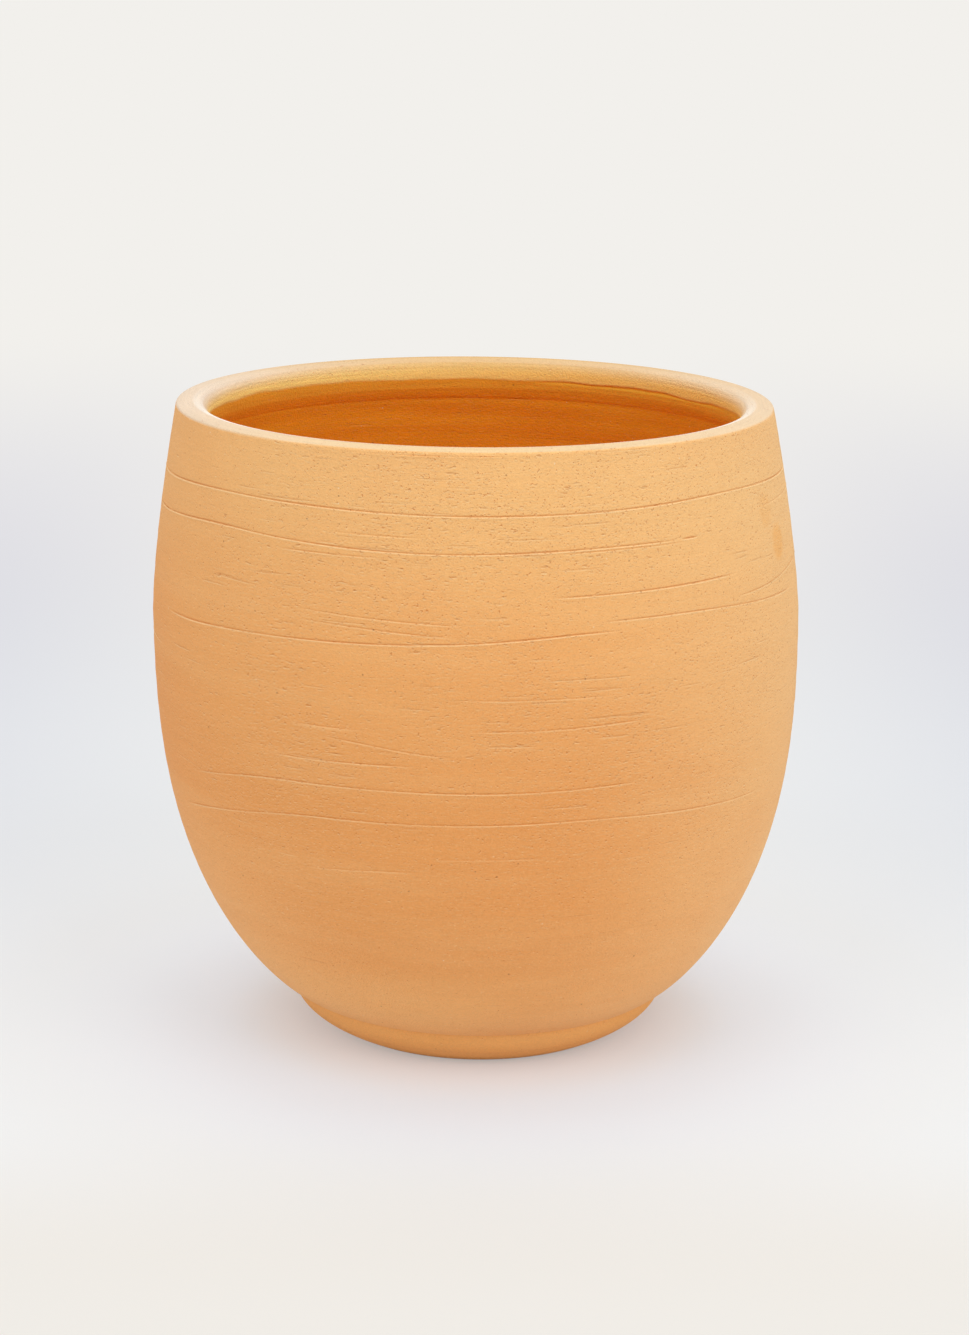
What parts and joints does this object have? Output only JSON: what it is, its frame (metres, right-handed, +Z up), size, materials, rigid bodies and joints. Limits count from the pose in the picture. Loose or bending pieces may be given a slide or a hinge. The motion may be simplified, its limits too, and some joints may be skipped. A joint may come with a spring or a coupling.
{
  "type": "flower pot",
  "caption": "Unglazed terracotta flower pot with a barrel belly, a thick rounded lip, a small foot ring and a drain hole in the floor.",
  "frame": {"origin": "centre of the foot, on the ground", "axes": "+Z up through the mouth, -Y towards the side that the picture shows"},
  "size_m": [0.28, 0.28, 0.2772],
  "materials": {
    "terracotta": "fired, unglazed, matte and fine grained, with faint wheel lines"
  },
  "bodies": {
    "root": {"foot_ring": "terracotta", "floor_disc": "terracotta", "lower_wall": "terracotta", "belly_wall": "terracotta", "shoulder_wall": "terracotta", "lip": "terracotta"}
  },
  "joints": []
}
